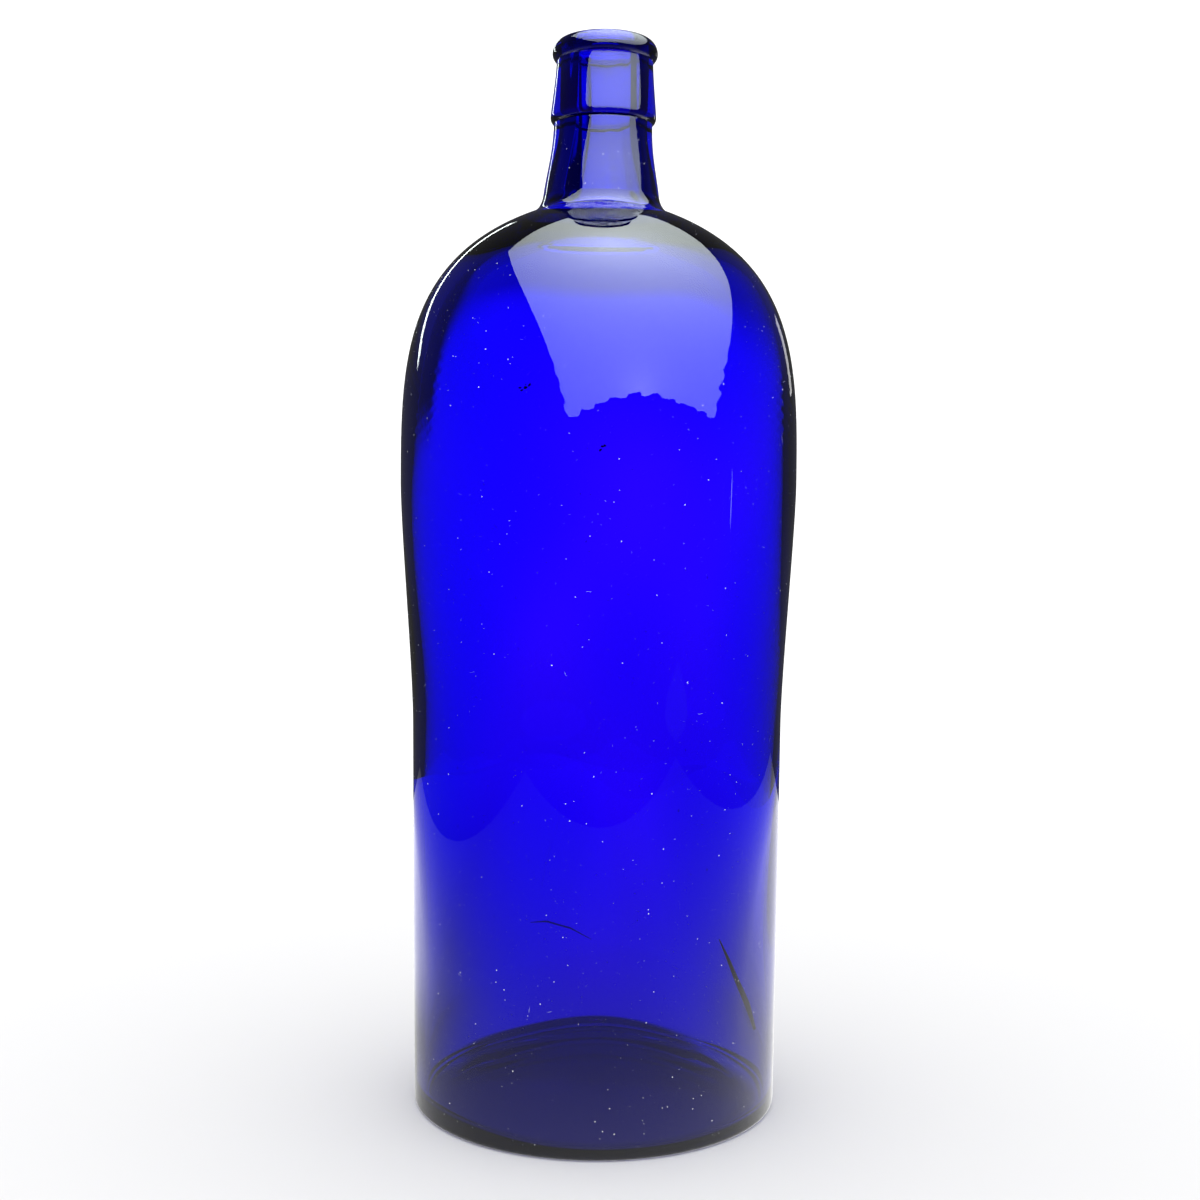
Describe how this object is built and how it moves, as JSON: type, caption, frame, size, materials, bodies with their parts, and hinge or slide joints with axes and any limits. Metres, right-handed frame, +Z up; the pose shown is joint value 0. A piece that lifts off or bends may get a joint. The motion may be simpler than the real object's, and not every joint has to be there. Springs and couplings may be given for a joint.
{
  "type": "glass bottle",
  "caption": "Tall mouth-blown round glass bottle with a domed shoulder, a slight taper to its base, and a short neck with an applied collar and rounded lip.",
  "frame": {"origin": "centre of the circle that the bottle stands on", "axes": "+Z up along the bottle's axis, out of its mouth; -Y faces the viewer"},
  "size_m": [0.1414, 0.1414, 0.38],
  "materials": {
    "body_glass": "clear cobalt-blue blown glass, glossy, with seed bubbles, fine scratches and faint streaks",
    "finish_glass": "the same cobalt-blue glass, tooled while hot, glossy with a few seed bubbles"
  },
  "bodies": {
    "root": {"blown_body": "body_glass", "applied_finish": "finish_glass"}
  },
  "joints": []
}
